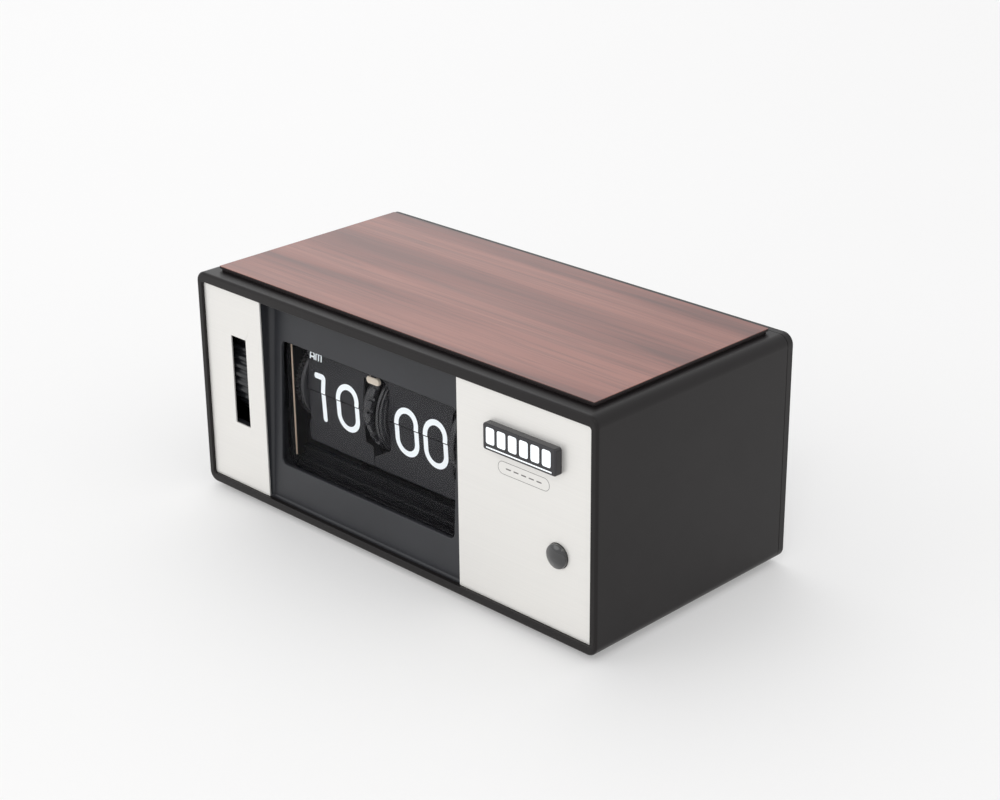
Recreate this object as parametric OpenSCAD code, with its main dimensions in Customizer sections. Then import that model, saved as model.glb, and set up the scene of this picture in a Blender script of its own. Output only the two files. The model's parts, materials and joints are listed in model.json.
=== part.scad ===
// Desk flip clock: a moulded case with two metal front plates, a laminate top and a leaf movement.
// Right-handed frame, +Z up. The front faces -Y. All sizes are in millimetres.

/* [Case] */
// Width of the case
case_w = 180; // [178:1:182]
// Depth of the case from the plane of its front plates to its rear face
case_d = 88; // [88:0.5:94]
// Height of the case without its feet
case_h = 76.5; // [76:0.5:82]
// Thickness of the moulded walls
wall = 2.4; // [2:0.1:2.6]
// Radius of the four long edges
edge_r = 3.6; // [3:0.2:5]
// Height of the rubber feet
foot_h = 2; // [1.5:0.5:4]
// Diameter of the rubber feet
foot_dia = 11; // [8:0.5:14]

/* [Front] */
// Width of the case rim beside the front plates
rim_side = 2.5; // [2.3:0.1:3.2]
// How far the front rim stands out from the front plates
rim_out = 0.8; // [0:0.1:1.2]
// Width of the rim above the front plates
rim_top = 3.4; // [3:0.1:4]
// Width of the rim under the front plates
rim_bottom = 3.1; // [2.8:0.1:3.6]
// Width of the left front plate
left_plate_w = 28.9; // [27:0.1:29.5]
// Width of the right front plate
right_plate_w = 54.8; // [52:0.1:55.5]
// Thickness of the front plates
plate_t = 0.65; // [0.5:0.05:0.7]
// Backward tilt of the display bezel in degrees
bezel_tilt = 3; // [2:0.5:3.5]
// Width of the display window
window_w = 82; // [80:0.5:83]
// Height of the display window
window_h = 43.2; // [42:0.1:44]
// Thickness of the clear window
lens_t = 1.2; // [0.8:0.1:1.4]
// Diameter of the light button
button_dia = 7.8; // [7:0.2:9]
// Travel of the light button
button_travel = 1.5; // [1:0.1:1.6]

/* [Top] */
// Margin between the top panel and the sides of the case
top_margin_x = 6; // [5:0.5:9]
// Margin between the top panel and the front and rear of the case
top_margin_y = 4.5; // [4:0.5:8]
// Thickness of the laminate panel
top_t = 0.9; // [0.7:0.1:1.4]
// Thickness of the plinth under the panel
plinth_t = 0.7; // [0.5:0.1:1]

/* [Movement] */
// Distance from the plane of the front plates back to the drum axis
axis_y = 22.5; // [22.3:0.1:23]
// Height of the drum axis above the case underside
axis_z = 43.2; // [43:0.1:43.5]
// Radius at which the leaves hang on their drum
leaf_r = 13.2; // [13:0.1:13.4]
// Height of one leaf
leaf_h = 18.8; // [18:0.1:19]
// Thickness of one leaf
leaf_t = 0.3; // [0.25:0.05:0.35]
// Radius of the drum flanges
flange_r = 15.9; // [15.5:0.1:16]
// Radius of the thumb wheel
thumb_r = 21.5; // [21:0.1:21.5]
// Number of ribs on the thumb wheel
thumb_ribs = 44; // [40:1:60]
// Diameter of the through shaft
shaft_dia = 3; // [2.5:0.1:3]

/* [Battery] */
// Diameter of the round cell
cell_dia = 33; // [32:0.1:33]
// Length of the cell without its nub
cell_len = 60; // [59:0.1:60]

/* [Hidden] */
$fn = 64;

// Names of the separate pieces

// Proud badge, which is the front-most piece
badge_t = 2.5;
badge_x = [46.2, 75.6];
badge_z = [54.4, 63];

// Clearances: between moving pieces, and between a shaft and what turns on it
gap = 0.3;
run = 0.05;

// Case edges in the case frame, where y is zero at the plane of the front plates and z at the underside
half_w = case_w / 2;
plate_x0 = -half_w + rim_side;
plate_x1 = half_w - rim_side;
plate_z0 = rim_bottom;
plate_z1 = case_h - rim_top;
plate_r = 1;
plate_y = 0.15;
panel_y = plate_y + plate_t;
panel_back = 3;
bezel_back = 8;
bezel_x0 = plate_x0 + left_plate_w;
bezel_x1 = plate_x1 - right_plate_w;
bezel_mid = (bezel_x0 + bezel_x1) / 2;
bezel_y0 = 1.8;
rear_y = case_d - wall;

// Display window
window_x0 = bezel_mid - window_w / 2;
window_x1 = bezel_mid + window_w / 2;
window_z0 = 16.3;
window_z1 = window_z0 + window_h;
window_r = 2;
lens_lip = 2.9;
lens_set = 1.2;

// Slot for the thumb wheel, and the light button
slot_x = [-74.4, -66.9];
slot_z = [25.8, 57.2];
thumb_x = [-77, -67.5];
button_x = 74.1;
button_z = 28;
button_gap = 0.15;
button_flange_y = panel_back + button_gap;
button_flange_t = 1;
switch_y = 11.4;
board_y = 17.4;

// Hour works on the left and minute works on the right of one shaft
shaft_r = shaft_dia / 2;
hour_disc_x = [-49, -47];
hour_flange_x = [-15.9, -13.6];
minute_ring_x = [-11.2, -8.2];
minute_disc_x = [21, 23.4];
plate_left_x = [-58, -56.6];
plate_right_x = [31.5, 32.9];
side_y = [11, 49.2];
side_z = [wall, 71];

// Gears: teeth and module in pairs that share a centre distance
carry_dist = 16.8;
drive_teeth = 12;
carry_teeth = 48;
carry_module = 2 * carry_dist / (drive_teeth + carry_teeth);
carry_pinion_teeth = 12;
hour_teeth = 72;
hour_module = 2 * carry_dist / (carry_pinion_teeth + hour_teeth);
motor_teeth = 12;
minute_teeth = 60;
motor_dist = 18;
motor_module = 2 * motor_dist / (motor_teeth + minute_teeth);
motor_angle = 25;
motor_y = axis_y + motor_dist * cos(motor_angle);
motor_z = axis_z + motor_dist * sin(motor_angle);
carry_y = axis_y + carry_dist;

// Leaves: lean of the two leaves at the front, and the fan of the others round the drum
upper_lean = 5;
lower_lean = 3;
leaf_front_y = axis_y - leaf_r;
next_set = 0.6;
fan_from = 45;
fan_to = 318;
hour_step = 15;
minute_step = 6;

// Battery bay behind the movement on the right
cell_r = cell_dia / 2;
cell_x0 = 24;
cell_y = 67.5;
cell_z = 20.7;
tray_x = [19, 87.4];
tray_y = [49.5, rear_y];
tray_z = [wall, 38.8];
tray_t = 1.5;
door_x = [20.2, 84.8];
door_z = [5.5, 37.5];
door_pin_r = 0.8;
door_axis_y = case_d - wall / 2;
door_axis_z = door_z[0] + wall / 2;

// Points of an arc, and of a rectangle with rounded corners
function arc(cx, cy, r, from, to, n = 8) =
    [for (i = [0:n]) [cx + r * cos(from + (to - from) * i / n), cy + r * sin(from + (to - from) * i / n)]];

function rounded(x0, x1, y0, y1, r) = concat(
    arc(x1 - r, y1 - r, r, 0, 90),
    arc(x0 + r, y1 - r, r, 90, 180),
    arc(x0 + r, y0 + r, r, 180, 270),
    arc(x1 - r, y0 + r, r, 270, 360)
);

// Points of a toothed wheel: each tooth is wide at its root radius and narrow at its tip
function toothed(teeth, root, tip, root_part, tip_part, turn) = [
    for (i = [0:teeth - 1], k = [[root, -root_part], [tip, -tip_part], [tip, tip_part], [root, root_part]])
        let (a = turn + (i + k[1] / 2) * 360 / teeth) [k[0] * cos(a), k[0] * sin(a)]
];

function gear_points(teeth, module_mm, turn) =
    toothed(teeth, module_mm * (teeth / 2 - 1.15), module_mm * (teeth / 2 + 0.85), 0.56, 0.24, turn);

// Moves a piece from the case frame to the model frame, whose origin is under the middle
module placed() {
    translate([0, -(case_d - badge_t) / 2, foot_h]) children();
}

// Outline in the X-Z plane, given depth along Y
module slab(points, y0, y1) {
    translate([0, y1, 0]) rotate([90, 0, 0]) linear_extrude(y1 - y0) polygon(points);
}

// Outline in the Y-Z plane, given length along X
module bar(points, x0, x1) {
    translate([x0, 0, 0]) rotate([90, 0, 90]) linear_extrude(x1 - x0) polygon(points);
}

module box(x, y, z) {
    translate([x[0], y[0], z[0]]) cube([x[1] - x[0], y[1] - y[0], z[1] - z[0]]);
}

module rod_x(y, z, r, x0, x1) {
    translate([x0, y, z]) rotate([0, 90, 0]) cylinder(r = r, h = x1 - x0);
}

module rod_y(x, z, r, y0, y1) {
    translate([x, y0, z]) rotate([-90, 0, 0]) cylinder(r = r, h = y1 - y0);
}

module gear_x(y, z, teeth, module_mm, turn, x0, x1, bore_r) {
    translate([0, y, z]) difference() {
        bar(gear_points(teeth, module_mm, turn), x0, x1);
        rod_x(0, 0, bore_r, x0 - 1, x1 + 1);
    }
}

// Everything in front of a plane that leans back with the bezel, from y0 at the plates' lower edge
module lean(y0) {
    translate([0, y0, plate_z0]) rotate([-bezel_tilt, 0, 0]) children();
}

module front_opening(y0, y1, shrink = 0) {
    slab(rounded(plate_x0 + shrink, plate_x1 - shrink, plate_z0 + shrink, plate_z1 - shrink,
        plate_r), y0, y1);
}

module window_hole(y0, y1) {
    slab(rounded(window_x0, window_x1, window_z0, window_z1, window_r), y0, y1);
}

// ---- Case and front ----

module case_shell() {
    color("#2f2d2e") placed() difference() {
        slab(rounded(-half_w, half_w, 0, case_h, edge_r), -rim_out, rear_y);
        slab(rounded(-half_w + wall, half_w - wall, wall, case_h - wall, edge_r - wall + 0.6),
            panel_back + 0.5, rear_y + 1);
        front_opening(-rim_out - 1, panel_back + 1);
    }
}

module front_bezel() {
    color("#33343a") placed() difference() {
        union() {
            front_opening(panel_y, panel_back + 0.5);
            box([-half_w + wall, half_w - wall], [panel_back + 0.5, panel_back + 1.7],
                [wall, case_h - wall]);
            box([bezel_x0 - 2, bezel_x1 + 2], [panel_back + 1.7, bezel_back], [wall, case_h - wall]);
        }
        lean(bezel_y0) box([bezel_x0, bezel_x1], [-10, 0], [0, 80]);
        lean(bezel_y0 + lens_set) box([window_x0 - lens_lip, window_x1 + lens_lip], [0, 20],
            [window_z0 - lens_lip - plate_z0, window_z1 + lens_lip - plate_z0]);
        window_hole(-1, 20);
        box([thumb_x[0] - 0.6, slot_x[1]], [-1, 20], slot_z);
        rod_y(button_x, button_z, button_dia / 2 + button_gap, -1, 20);
        rod_y(button_x, button_z, button_dia / 2 + 1.6, panel_back, 20);
    }
}

module left_plate() {
    color("#dedbd5") placed() difference() {
        intersection() {
            front_opening(plate_y, panel_y, 0.05);
            box([plate_x0 - 1, bezel_x0], [-1, 5], [0, case_h]);
        }
        box(slot_x, [-1, 5], slot_z);
    }
}

module right_plate() {
    color("#dedbd5") placed() difference() {
        intersection() {
            front_opening(plate_y, panel_y, 0.05);
            box([bezel_x1, plate_x1 + 1], [-1, 5], [0, case_h]);
        }
        rod_y(button_x, button_z, button_dia / 2 + button_gap, -1, 5);
    }
}

module window_lens() {
    color("#9aa0a6", 0.3) placed() lean(bezel_y0 + lens_set)
        box([window_x0 - lens_lip, window_x1 + lens_lip], [0, lens_t],
            [window_z0 - lens_lip - plate_z0, window_z1 + lens_lip - plate_z0]);
}

// Dark surround behind the window, with two ledges under the leaves
module display_shroud() {
    color("#101013") placed() {
        for (x = [[-55.8, -54.6], [29.6, 30.8]])
            box(x, [bezel_back, 15], [12, 66]);
        box([-54.6, 29.6], [bezel_back, 15], [64.8, 66]);
        box([-54.6, 29.6], [bezel_back, 15], [12, 14]);
        box([-54.6, 29.6], [9.5, 12.5], [14, 16.6]);
        box([-54.6, 29.6], [12.5, 15], [14, 19.6]);
    }
}

module badge() {
    chamfer = 0.4;
    corner = 0.9;
    color("#242326") placed() intersection() {
        slab(rounded(badge_x[0], badge_x[1], badge_z[0], badge_z[1], corner), -badge_t, plate_y);
        bar([[plate_y, badge_z[0] - 1], [-badge_t + chamfer, badge_z[0] - 1],
            [-badge_t, badge_z[0] + chamfer], [-badge_t, badge_z[1] - chamfer],
            [-badge_t + chamfer, badge_z[1] + 1], [plate_y, badge_z[1] + 1]],
            badge_x[0] - 1, badge_x[1] + 1);
    }
}

module top_plinth() {
    set = 0.5;
    color("#1a1718") placed()
        box([-half_w + top_margin_x + set, half_w - top_margin_x - set],
            [top_margin_y + set, case_d - top_margin_y - set], [case_h, case_h + plinth_t]);
}

module wood_top() {
    color("#6e3b33") placed()
        box([-half_w + top_margin_x, half_w - top_margin_x], [top_margin_y, case_d - top_margin_y],
            [case_h + plinth_t, case_h + plinth_t + top_t]);
}

module rear_cover() {
    color("#2f2d2e") placed() difference() {
        slab(rounded(-half_w, half_w, 0, case_h, edge_r), rear_y, case_d);
        box([door_x[0] - gap, door_x[1] + gap], [rear_y - 1, case_d + 1],
            [door_z[0] - gap, door_z[1] + gap]);
        rod_x(door_axis_y, door_axis_z, door_pin_r, door_x[0] - 2, door_x[1] + 2);
        for (x = [-84, 84], z = [46, 70])
            rod_y(x, z, 1.3, rear_y - 1, case_d + 1);
        for (x = [-84, 84], z = [46, 70])
            rod_y(x, z, 2.4, case_d - 1.1, case_d + 1);
        for (i = [0:5])
            box([-60 + i * 9, -56 + i * 9], [rear_y - 1, case_d + 1], [52, 64]);
    }
}

// Lid over the battery bay: it tilts out on the pin along its lower edge
module battery_door() {
    color("#2f2d2e") placed() difference() {
        union() {
            box(door_x, [rear_y, case_d], [door_axis_z, door_z[1]]);
            rod_x(door_axis_y, door_axis_z, wall / 2, door_x[0], door_x[1]);
        }
        rod_x(door_axis_y, door_axis_z, door_pin_r + run, door_x[0] - 1, door_x[1] + 1);
        box([46, 59], [case_d - 0.9, case_d + 1], [32.5, 35.5]);
    }
}

module door_pin() {
    color("#b8b8b8") placed()
        rod_x(door_axis_y, door_axis_z, door_pin_r, door_x[0] - 2, door_x[1] + 2);
}

module feet() {
    color("#171717") placed()
        for (x = [-half_w + 12, half_w - 12], y = [13, case_d - 13])
            translate([x, y, -foot_h]) cylinder(d = foot_dia, h = foot_h);
}

module cover_screws() {
    color("#8d8d90") placed()
        for (x = [-84, 84], z = [46, 70]) difference() {
            union() {
                rod_y(x, z, 2.3, case_d - 1.1, case_d - 0.2);
                rod_y(x, z, 1.2, case_d - 8, case_d - 1.1);
            }
            box([x - 1.4, x + 1.4], [case_d - 0.6, case_d], [z - 0.3, z + 0.3]);
            box([x - 0.3, x + 0.3], [case_d - 0.6, case_d], [z - 1.4, z + 1.4]);
        }
}

// ---- Movement frame ----

bar_places = [[12.5, 8.5], [40, 8.5], [46.5, 68]];
bush_r = 3;

module side_plate(x) {
    difference() {
        box(x, side_y, side_z);
        rod_x(axis_y, axis_z, bush_r, x[0] - 1, x[1] + 1);
    }
}

module left_side_plate() {
    color("#a3a7a8") placed() difference() {
        side_plate(plate_left_x);
        rod_x(carry_y, axis_z, 1, plate_left_x[0] - 1, plate_left_x[1] + 1);
    }
}

module right_side_plate() {
    color("#a3a7a8") placed() difference() {
        side_plate(plate_right_x);
        rod_x(motor_y, motor_z, 4.5, plate_right_x[0] - 1, plate_right_x[1] + 1);
        for (a = [120, 300])
            rod_x(motor_y + 9.5 * cos(a), motor_z + 9.5 * sin(a), 1,
                plate_right_x[0] - 1, plate_right_x[1] + 1);
    }
}

module spacer_bars() {
    color("#b5b7b8") placed()
        for (p = bar_places)
            rod_x(p[0], p[1], 2, plate_left_x[1], plate_right_x[0]);
}

module shaft_bushes() {
    color("#b08d4f") placed()
        for (x = [plate_left_x, plate_right_x]) difference() {
            rod_x(axis_y, axis_z, bush_r, x[0], x[1]);
            rod_x(axis_y, axis_z, shaft_r + run, x[0] - 1, x[1] + 1);
        }
}

// ---- Minute works: they turn with the shaft and the thumb wheel ----

module main_shaft() {
    color("#c0c2c4") placed() rod_x(axis_y, axis_z, shaft_r, -75.5, 35);
}

module thumb_wheel() {
    color("#1c1c1f") placed() translate([0, axis_y, axis_z]) difference() {
        union() {
            bar(toothed(thumb_ribs, thumb_r - 0.9, thumb_r, 0.62, 0.42, 0), thumb_x[0], thumb_x[1]);
            rod_x(0, 0, 4, thumb_x[0], thumb_x[1] + 2);
        }
        rod_x(0, 0, shaft_r, thumb_x[0] - 2, thumb_x[1] + 3);
    }
}

module minute_drum() {
    color("#26262a") placed() translate([0, axis_y, axis_z]) difference() {
        union() {
            rod_x(0, 0, 5, minute_ring_x[0], minute_disc_x[1] + 1);
            rod_x(0, 0, flange_r - 1.4, minute_ring_x[0], minute_ring_x[1]);
            for (x = [[-11.2, -10], [-9.4, -8.3]])
                rod_x(0, 0, flange_r, x[0], x[1]);
            rod_x(0, 0, flange_r - 0.9, minute_disc_x[0], minute_disc_x[1]);
        }
        rod_x(0, 0, shaft_r, -20, 40);
    }
}

module minute_gear() {
    color("#2a2a2d") placed()
        gear_x(axis_y, axis_z, minute_teeth, motor_module, motor_angle, 25, 26.6, shaft_r);
}

module drive_pinion() {
    color("#b08d4f") placed()
        gear_x(axis_y, axis_z, drive_teeth, carry_module, 0, -54.2, -52.2, shaft_r);
}

// ---- Hour works: they turn freely on the shaft, one leaf for each turn of the minute drum ----

module hour_drum() {
    color("#26262a") placed() translate([0, axis_y, axis_z]) difference() {
        union() {
            rod_x(0, 0, 5, hour_disc_x[0], hour_flange_x[1]);
            rod_x(0, 0, flange_r - 0.9, hour_disc_x[0], hour_disc_x[1]);
            rod_x(0, 0, leaf_r + 0.4, hour_flange_x[0] - 3.6, hour_flange_x[0]);
            bar(toothed(24, flange_r - 1.2, flange_r, 0.8, 0.72, 0), hour_flange_x[0], hour_flange_x[1]);
        }
        rod_x(0, 0, shaft_r + run, hour_disc_x[0] - 1, hour_flange_x[1] + 1);
    }
}

module hour_gear() {
    color("#2a2a2d") placed() {
        gear_x(axis_y, axis_z, hour_teeth, hour_module, 0, -51.5, -50, shaft_r + run);
        translate([0, axis_y, axis_z]) difference() {
            rod_x(0, 0, 4, -50, hour_disc_x[0]);
            rod_x(0, 0, shaft_r + run, -51, hour_disc_x[0] + 1);
        }
    }
}

module carry_wheel() {
    color("#2a2a2d") placed() {
        gear_x(carry_y, axis_z, carry_teeth, carry_module, 180 / carry_teeth, -54, -52.5, 1 + run);
        gear_x(carry_y, axis_z, carry_pinion_teeth, hour_module, 180 / carry_pinion_teeth,
            -52.5, -49.8, 1 + run);
    }
}

module carry_axle() {
    color("#c0c2c4") placed() {
        rod_x(carry_y, axis_z, 1, plate_left_x[0], -49);
        rod_x(carry_y, axis_z, 2, plate_left_x[1], -54.3);
        rod_x(carry_y, axis_z, 2, -49.5, -49);
    }
}

// ---- Leaves ----

// Outline of one leaf, hinge edge along X at zero: it is narrow between the drum discs and
// wide past them, with a shoulder on each side
function leaf_points(inner, outer, shoulder) = [
    [inner[0], 0], [inner[1], 0],
    [inner[1], shoulder[0]], [outer[1], shoulder[1]],
    [outer[1], leaf_h], [outer[0], leaf_h],
    [outer[0], shoulder[3]], [inner[0], shoulder[2]]
];
hour_hinge_x = [-46.7, -19.8];
minute_hinge_x = [-7.9, 20.7];
hour_leaf = leaf_points(hour_hinge_x, [-47.7, -16.4], [11.3, 11.7, 11.3, 11.7]);
minute_leaf = leaf_points(minute_hinge_x, [-16, 24.2], [10.7, 15.4, 10.7, 15.4]);

// Puts a leaf with its hinge at radius r and drum angle a from the front, pointing along the
// direction angle d, both measured from the front towards the top
module leaf(points, r, a, d) {
    translate([0, axis_y - r * cos(a), axis_z + r * sin(a)]) rotate([90 - d, 0, 0])
        slab(points, -leaf_t / 2, leaf_t / 2);
}

function fan_direction(a) = 90 + upper_lean + (180 - upper_lean - lower_lean) * a / 360;

module leaf_fan(points, step) {
    for (a = [fan_from:step:fan_to])
        leaf(points, leaf_r, a, fan_direction(a));
}

// A leaf that turns about its hinge edge, which is a thin round barrel
module flip_leaf(points, hinge_x) {
    leaf(points, leaf_r, 0, 90 + upper_lean);
    rod_x(axis_y - leaf_r, axis_z, 0.25, hinge_x[0] + 0.4, hinge_x[1] - 0.4);
}

module hour_leaf_flip() {
    color("#3c3c41") placed() flip_leaf(hour_leaf, hour_hinge_x);
}

module minute_leaf_flip() {
    color("#3c3c41") placed() flip_leaf(minute_leaf, minute_hinge_x);
}

module hour_leaf_lower() {
    color("#3c3c41") placed() translate([0, 0, -0.25]) leaf(hour_leaf, leaf_r, 0, 270 - lower_lean);
}

module minute_leaf_lower() {
    color("#3c3c41") placed() translate([0, 0, -0.25]) leaf(minute_leaf, leaf_r, 0, 270 - lower_lean);
}

module hour_leaf_next() {
    color("#3c3c41") placed() leaf(hour_leaf, leaf_r - next_set, 0, 90 + upper_lean);
}

module minute_leaf_next() {
    color("#3c3c41") placed() leaf(minute_leaf, leaf_r - next_set, 0, 90 + upper_lean);
}

module hour_leaf_pack() {
    color("#3c3c41") placed() leaf_fan(hour_leaf, hour_step);
}

module minute_leaf_pack() {
    color("#3c3c41") placed() leaf_fan(minute_leaf, minute_step);
}

// Pale stop that holds the waiting leaves back, on a stem from the top of the surround
module leaf_stop() {
    color("#e8ddc9") placed() {
        slab(rounded(-16.2, -10.3, 54.5, 57, 1.15), 7.8, 8.8);
        box([-14.2, -12.3], [8.1, 8.8], [56, 64.8]);
    }
}

// ---- Drive and electrics ----

module motor() {
    color("#c9ccce") placed() {
        rod_x(motor_y, motor_z, 12, plate_right_x[1], 48);
        rod_x(motor_y, motor_z, 4.5, plate_right_x[0], plate_right_x[1]);
    }
}

module motor_pinion() {
    color("#b08d4f") placed() {
        gear_x(motor_y, motor_z, motor_teeth, motor_module, motor_angle - 180 + 15,
            24.6, 27.2, 0.8);
        rod_x(motor_y, motor_z, 0.8, 24.6, plate_right_x[0] - 0.1);
    }
}

module motor_screws() {
    color("#8d8d90") placed()
        for (a = [120, 300]) {
            rod_x(motor_y + 9.5 * cos(a), motor_z + 9.5 * sin(a), 1,
                plate_right_x[0], plate_right_x[1]);
            rod_x(motor_y + 9.5 * cos(a), motor_z + 9.5 * sin(a), 1.8,
                plate_right_x[0] - 1.2, plate_right_x[0]);
        }
}

module circuit_board() {
    color("#2f6b3c") placed() box([52, 86], [board_y, board_y + 1.6], [6, 48]);
}

module board_parts() {
    color("#28282b") placed() {
        box([56, 64], [board_y + 1.6, board_y + 3.6], [30, 36]);
        rod_y(58, 22, 1.6, board_y + 1.6, board_y + 8);
        rod_y(66, 18, 3, board_y + 1.6, board_y + 9);
        box([70, 76], [board_y + 1.6, board_y + 2.6], [38, 41]);
    }
}

module display_lamp() {
    color("#f2ead0") placed() {
        rod_y(27.2, 61, 1.2, 10.5, 13.5);
        rod_y(27.2, 61, 1.6, 13.5, 15);
    }
}

// Domed button with a flange behind the panel and a stem into its spring
module light_button() {
    dome = 1.9;
    crown = 1.2;
    dome_r = (pow(button_dia / 2, 2) + pow(crown, 2)) / (2 * crown);
    color("#1d1d20") placed() translate([button_x, 0, button_z]) rotate([-90, 0, 0])
        rotate_extrude() polygon(concat(
            [[0, -dome]],
            [for (i = [1:8]) let (a = asin(button_dia / 2 / dome_r) * i / 8)
                [dome_r * sin(a), -dome + dome_r * (1 - cos(a))]],
            [[button_dia / 2, button_flange_y], [button_dia / 2 + 1, button_flange_y],
                [button_dia / 2 + 1, button_flange_y + button_flange_t],
                [1.5, button_flange_y + button_flange_t], [1.5, 9.7], [0, 9.7]]
        ));
}

module button_spring() {
    turns = 5;
    from = button_flange_y + button_flange_t;
    pitch = (switch_y - 0.3 - from) / turns;
    color("#c4c6c8") placed()
        for (i = [0:turns - 1])
            translate([button_x, from + 0.25 + pitch * (i + 0.4), button_z]) rotate([-90, 0, 0])
                rotate_extrude() translate([2.6, 0]) circle(r = 0.25);
}

module light_switch() {
    color("#3a3a3d") placed() difference() {
        box([button_x - 6, button_x + 6], [switch_y, board_y], [button_z - 6, button_z + 6]);
        rod_y(button_x, button_z, 1.9, switch_y - 1, switch_y + 3);
    }
}

module battery() {
    color("#8a8f94") placed() {
        rod_x(cell_y, cell_z, cell_r, cell_x0, cell_x0 + cell_len);
        rod_x(cell_y, cell_z, 4.7, cell_x0 + cell_len, cell_x0 + cell_len + 1.5);
    }
}

// Open box behind the battery door, cut away at the corner that the leaves of the pack pass
module battery_tray() {
    color("#26262a") placed() difference() {
        slab(rounded(tray_x[0], tray_x[1], tray_z[0], tray_z[1], 2), tray_y[0], tray_y[1]);
        box([tray_x[0] - 1, tray_x[0] + 6.2], [tray_y[0] - 1, tray_y[0] + 5],
            [tray_z[0] + 23, tray_z[1] + 1]);
        box([tray_x[0] + tray_t, tray_x[1] - tray_t], [tray_y[0] + tray_t, tray_y[1] + 1],
            [tray_z[0] + tray_t, tray_z[1] - tray_t]);
    }
}

module contact_plate() {
    color("#c9ccce") placed()
        box([tray_x[1] - tray_t - 0.4, tray_x[1] - tray_t], [cell_y - 6, cell_y + 6],
            [cell_z - 6, cell_z + 6]);
}

module contact_spring() {
    color("#c9ccce") placed() {
        box([tray_x[0] + tray_t, tray_x[0] + tray_t + 0.4], [cell_y - 9, cell_y + 9],
            [cell_z - 9, cell_z + 9]);
        for (i = [0:2])
            translate([tray_x[0] + tray_t + 0.95 + i * 0.95, cell_y, cell_z]) rotate([0, 90, 0])
                rotate_extrude() translate([7 - i * 1.5, 0]) circle(r = 0.4);
    }
}

// Held wires between the contacts, the motor, the lamp and the board
module wire(points) {
    for (i = [0:len(points) - 2])
        hull() {
            translate(points[i]) sphere(r = 0.6, $fn = 8);
            translate(points[i + 1]) sphere(r = 0.6, $fn = 8);
        }
}

module wires() {
    color("#a33a2e") placed() {
        wire([[44, 39, 63.5], [46, 34, 66], [56, 26, 60], [60, 19.8, 46]]);
        wire([[80, 48.5, 33], [80, 40, 30], [79, 26, 26], [78, 19.8, 22]]);
        wire([[52, 48.5, 12], [52, 38, 9], [60, 26, 10], [62, 19.8, 12]]);
    }
}

case_shell();
front_bezel();
left_plate();
right_plate();
window_lens();
display_shroud();
badge();
top_plinth();
wood_top();
rear_cover();
battery_door();
door_pin();
feet();
cover_screws();
left_side_plate();
right_side_plate();
spacer_bars();
shaft_bushes();
main_shaft();
thumb_wheel();
minute_drum();
minute_gear();
drive_pinion();
hour_drum();
hour_gear();
carry_wheel();
carry_axle();
hour_leaf_flip();
minute_leaf_flip();
hour_leaf_lower();
minute_leaf_lower();
hour_leaf_next();
minute_leaf_next();
hour_leaf_pack();
minute_leaf_pack();
leaf_stop();
motor();
motor_pinion();
motor_screws();
circuit_board();
board_parts();
display_lamp();
light_button();
button_spring();
light_switch();
battery();
battery_tray();
contact_plate();
contact_spring();
wires();
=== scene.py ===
"""Looks for a desk flip clock, built round its packed frame. Lengths are metres, +Z up, front towards -Y."""
import json
import math

import bmesh
import bpy
import numpy as np
from bpy.props import FloatProperty, FloatVectorProperty, IntProperty, PointerProperty
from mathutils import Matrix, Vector


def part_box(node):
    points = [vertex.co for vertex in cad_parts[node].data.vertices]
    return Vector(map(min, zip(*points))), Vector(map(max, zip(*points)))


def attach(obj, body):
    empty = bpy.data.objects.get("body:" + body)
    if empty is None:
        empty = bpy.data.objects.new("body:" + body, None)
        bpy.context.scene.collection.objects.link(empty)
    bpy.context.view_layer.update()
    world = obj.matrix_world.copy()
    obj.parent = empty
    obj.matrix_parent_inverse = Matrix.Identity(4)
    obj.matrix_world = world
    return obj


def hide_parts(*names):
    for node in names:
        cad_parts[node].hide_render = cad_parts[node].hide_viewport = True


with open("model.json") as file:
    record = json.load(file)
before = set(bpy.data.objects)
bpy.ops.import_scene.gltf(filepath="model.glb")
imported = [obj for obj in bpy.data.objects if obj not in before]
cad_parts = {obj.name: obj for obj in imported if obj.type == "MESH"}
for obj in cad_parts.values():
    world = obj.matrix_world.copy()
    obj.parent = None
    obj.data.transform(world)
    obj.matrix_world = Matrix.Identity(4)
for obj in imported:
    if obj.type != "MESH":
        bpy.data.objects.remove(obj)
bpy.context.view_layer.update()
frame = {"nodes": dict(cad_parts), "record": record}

bl_info = {
    "name": "Flip Clock",
    "version": (1, 0, 0),
    "blender": (4, 5, 0),
    "location": "View3D > Sidebar > Flip Clock",
    "description": "Builds the case, display, controls and finishes of a desk flip clock",
    "category": "Add Mesh",
}

MM = 0.001
TAU = 2 * math.pi


# ---- places read from the frame

def span(node, axis):
    """Lowest and highest place of a node of the frame along one axis."""
    low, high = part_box(node)
    return low[axis], high[axis]


BADGE_THICK = 2.5 * MM
HINGE_RING = 13.2 * MM
CASE_X = span("case_shell", 0)
CASE_Z = span("case_shell", 2)
RIM = span("case_shell", 1)[0]
FRONT = span("badge", 1)[0] + BADGE_THICK
COVER_FRONT = span("rear_cover", 1)[0]
LEFT_PLATE_X = span("left_plate", 0)
RIGHT_PLATE_X = span("right_plate", 0)
PLATE_Y = span("left_plate", 1)
PLATE_Z = span("left_plate", 2)
SHAFT = sum(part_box("main_shaft"), Vector()) / 2
HINGE_Y = SHAFT.y - HINGE_RING
SPLIT_Z = SHAFT.z
THUMB_X = -77 * MM
SLOT_X = (-74.4 * MM, -66.9 * MM)
SLOT_Z = (CASE_Z[0] + 25.8 * MM, CASE_Z[0] + 57.2 * MM)
LENS_LIP = 2.9 * MM
BUTTON_RADIUS = 3.9 * MM
BUTTON_GAP = 0.15 * MM


def at_front(depth):
    """Place along Y of a depth behind the plane of the front plates, given in millimetres."""
    return FRONT + depth * MM


# ---- settings

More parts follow.
